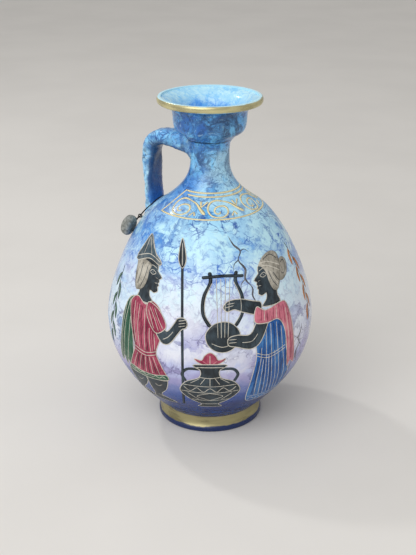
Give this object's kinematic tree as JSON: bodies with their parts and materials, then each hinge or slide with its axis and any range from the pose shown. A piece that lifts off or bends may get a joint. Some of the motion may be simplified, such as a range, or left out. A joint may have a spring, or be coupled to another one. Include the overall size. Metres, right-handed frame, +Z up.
{
  "type": "ceramic jug",
  "caption": "One-handled ceramic jug with an egg-shaped body, low foot, short neck and flared mouth with a rolled rim; a lead seal swings on a wire loop at the foot of the handle.",
  "frame": {"origin": "centre of the foot's resting ring", "axes": "+Z up along the axis the jug was turned on; the handle points along -X"},
  "size_m": [0.1364, 0.1364, 0.22],
  "materials": {
    "gilded_foot": "gold lustre over glaze, blue bottom edge",
    "belly_glaze": "glossy marbled glaze, white and lavender, violet-blue veins",
    "shoulder_glaze": "glossy marbled glaze, light blue",
    "neck_glaze": "glossy marbled glaze, deep blue",
    "cup_glaze": "glossy marbled glaze, blue",
    "gilded_rim": "gold lustre over glaze",
    "handle_glaze": "glossy marbled glaze, blue",
    "wire": "dark annealed wire",
    "lead": "dull pressed lead"
  },
  "bodies": {
    "jug": {"foot_ring": "gilded_foot", "lower_body": "belly_glaze", "upper_body": "shoulder_glaze", "neck": "neck_glaze", "mouth_cup": "cup_glaze", "rim_bead": "gilded_rim", "handle": "handle_glaze", "seal_wire_loop": "wire"},
    "seal": {"seal_wire_tail": "wire", "lead_seal": "lead"}
  },
  "joints": [
    {"name": "seal_swing", "type": "hinge", "parent": "jug", "child": "seal", "pos_m": [-0.0462, -0.01236, 0.1368], "axis": [-0.5909, 0.4004, -0.7004], "range_deg": [0, 120]}
  ]
}
